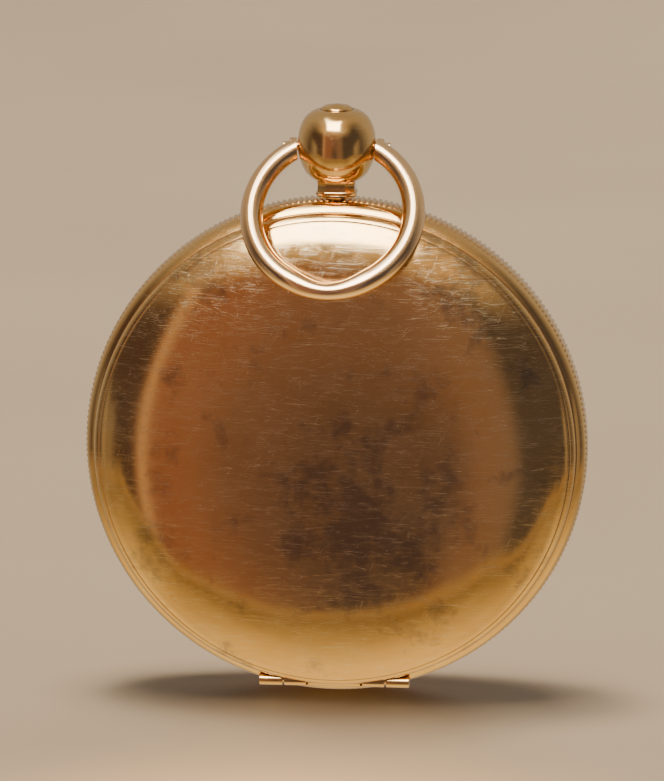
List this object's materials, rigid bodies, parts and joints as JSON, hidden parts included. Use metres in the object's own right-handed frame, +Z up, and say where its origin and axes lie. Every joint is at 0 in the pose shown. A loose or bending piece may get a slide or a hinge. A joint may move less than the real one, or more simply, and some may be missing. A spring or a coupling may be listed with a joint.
{
  "type": "open face pocket watch",
  "caption": "Open face pocket watch with hinged polished back, inner dome, ball pendant, ring bow, push piece, glazed dial and a key-wound lever movement.",
  "frame": {"origin": "centre of the case's box on the ground, with the watch standing on its rim", "axes": "+Z up towards the pendant, -Y the way the dial faces, +Y the way the back faces, +X towards 3 o'clock"},
  "size_m": [0.048, 0.0184, 0.0569],
  "materials": {
    "gold_yellow": "high polish with fine wear",
    "gold_rose": "worn polish",
    "gilt_brass": "matt gilding",
    "polished_steel": "polished",
    "blued_steel": "heat blued",
    "enamel": "glossy white enamel",
    "crystal_glass": "clear polished"
  },
  "bodies": {
    "case": {"case_band": "gold_yellow", "pendant": "gold_yellow", "back_hinge_pin": "gold_yellow", "bezel_hinge_pin": "gold_yellow", "dial": "enamel", "dial_ring": "gilt_brass", "pillar_plate": "gilt_brass", "top_plate": "gilt_brass", "pillar_1": "gilt_brass", "pillar_2": "gilt_brass", "pillar_3": "gilt_brass", "pillar_4": "gilt_brass", "pillar_screw_1": "blued_steel", "pillar_screw_2": "blued_steel", "pillar_screw_3": "blued_steel", "pillar_screw_4": "blued_steel", "balance_cock": "gilt_brass", "cock_screw": "blued_steel", "click_spring": "polished_steel", "bow_screw_left": "gold_rose", "bow_screw_right": "gold_rose"},
    "back": {"back_cover": "gold_yellow"},
    "inner_lid": {"inner_dome": "gold_yellow"},
    "bow_ring": {"bow": "gold_rose"},
    "front": {"bezel": "gold_yellow", "crystal": "crystal_glass"},
    "push": {"push_piece": "gold_yellow"},
    "lock": {"lock_spring": "polished_steel"},
    "center": {"center_arbor": "polished_steel", "center_wheel": "gilt_brass", "cannon_pinion": "polished_steel", "minute_hand": "blued_steel"},
    "barrel_body": {"barrel": "gilt_brass", "barrel_cover": "gilt_brass", "mainspring": "blued_steel"},
    "third": {"third_wheel": "gilt_brass", "third_pinion": "polished_steel"},
    "fourth": {"fourth_wheel": "gilt_brass", "fourth_pinion": "polished_steel", "seconds_hand": "blued_steel"},
    "escape": {"escape_wheel": "gilt_brass", "escape_pinion": "polished_steel"},
    "minute_work": {"minute_wheel": "gilt_brass"},
    "hour_work": {"hour_wheel": "gilt_brass", "hour_hand": "blued_steel"},
    "balance": {"balance_wheel": "gilt_brass", "balance_staff": "polished_steel", "roller": "polished_steel", "hairspring": "blued_steel"},
    "lever": {"pallet_lever": "polished_steel", "pallet_arbor": "polished_steel"},
    "winding": {"barrel_arbor": "polished_steel", "ratchet_wheel": "polished_steel"},
    "click_body": {"click": "polished_steel"},
    "regulator_body": {"regulator": "polished_steel"}
  },
  "joints": [
    {"name": "back_hinge", "type": "hinge", "parent": "case", "child": "back", "pos_m": [0, 0.00097, 0.0013], "axis": [-1, 0, 0], "range_deg": [0, 60]},
    {"name": "inner_dome_hinge", "type": "hinge", "parent": "case", "child": "inner_lid", "pos_m": [0, 0.00097, 0.0013], "axis": [-1, 0, 0], "range_deg": [0, 48]},
    {"name": "bow_swing", "type": "hinge", "parent": "case", "child": "bow_ring", "pos_m": [0, -0.00168, 0.05285], "axis": [1, 0, 0], "range_deg": [0, 280]},
    {"name": "bezel_hinge", "type": "hinge", "parent": "case", "child": "front", "pos_m": [-0.0224, -0.00428, 0.024], "axis": [0, 0, -1], "range_deg": [0, 100]},
    {"name": "push_slide", "type": "slide", "parent": "case", "child": "push", "axis": [0, 0, -1], "range_m": [0, 0.0006], "stiffness_N_per_m": 2000, "springref_m": -0.0005},
    {"name": "lock_flex", "type": "hinge", "parent": "case", "child": "lock", "pos_m": [0.01348, -0.00098, 0.03897], "axis": [0, -1, 0], "range_deg": [0, 2.6]},
    {"name": "going_train", "type": "hinge", "parent": "case", "child": "center", "pos_m": [0, -0.00168, 0.024], "axis": [0, 1, 0], "continuous": true},
    {"name": "barrel_turn", "type": "hinge", "parent": "case", "child": "barrel_body", "pos_m": [0.005, -0.00168, 0.0306], "axis": [0, 1, 0], "continuous": true},
    {"name": "third_turn", "type": "hinge", "parent": "case", "child": "third", "pos_m": [0.00318, -0.00168, 0.01835], "axis": [0, 1, 0], "continuous": true},
    {"name": "fourth_turn", "type": "hinge", "parent": "case", "child": "fourth", "pos_m": [0, -0.00168, 0.0148], "axis": [0, 1, 0], "continuous": true},
    {"name": "escape_turn", "type": "hinge", "parent": "case", "child": "escape", "pos_m": [-0.0039, -0.00168, 0.0166], "axis": [0, 1, 0], "continuous": true},
    {"name": "minute_wheel_turn", "type": "hinge", "parent": "case", "child": "minute_work", "pos_m": [0.00353, -0.00168, 0.02604], "axis": [0, 1, 0], "continuous": true},
    {"name": "hour_turn", "type": "hinge", "parent": "case", "child": "hour_work", "pos_m": [0, -0.00168, 0.024], "axis": [0, 1, 0], "continuous": true},
    {"name": "balance_swing", "type": "hinge", "parent": "case", "child": "balance", "pos_m": [-0.0092, -0.00168, 0.0274], "axis": [0, 1, 0], "range_deg": [-135, 135], "stiffness_Nm_per_rad": 0.00000095},
    {"name": "lever_rock", "type": "hinge", "parent": "case", "child": "lever", "pos_m": [-0.008, -0.00168, 0.0194], "axis": [0, 1, 0], "range_deg": [-4.6, 4.6]},
    {"name": "winding_turn", "type": "hinge", "parent": "case", "child": "winding", "pos_m": [0.005, -0.00168, 0.0306], "axis": [0, 1, 0], "continuous": true},
    {"name": "click_lift", "type": "hinge", "parent": "case", "child": "click_body", "pos_m": [0.0096, -0.00168, 0.034], "axis": [0, 1, 0], "range_deg": [0, 6], "stiffness_Nm_per_rad": 0.001, "springref_deg": -5.73},
    {"name": "regulator_turn", "type": "hinge", "parent": "case", "child": "regulator_body", "pos_m": [-0.0092, -0.00168, 0.0274], "axis": [0, 1, 0], "range_deg": [-20, 20]}
  ],
  "couplings": [
    {"joint": "inner_dome_hinge", "follows": "back_hinge", "ratio": 0.8},
    {"joint": "bow_swing", "follows": "back_hinge", "ratio": 4.6666},
    {"joint": "lock_flex", "follows": "push_slide", "rad_per_m": 75},
    {"joint": "barrel_turn", "follows": "going_train", "ratio": -0.16667},
    {"joint": "third_turn", "follows": "going_train", "ratio": -8},
    {"joint": "fourth_turn", "follows": "going_train", "ratio": 60},
    {"joint": "escape_turn", "follows": "going_train", "ratio": -480},
    {"joint": "minute_wheel_turn", "follows": "going_train", "ratio": -0.33333},
    {"joint": "hour_turn", "follows": "going_train", "ratio": 0.083333},
    {"joint": "lever_rock", "follows": "balance_swing", "ratio": -0.033333}
  ]
}
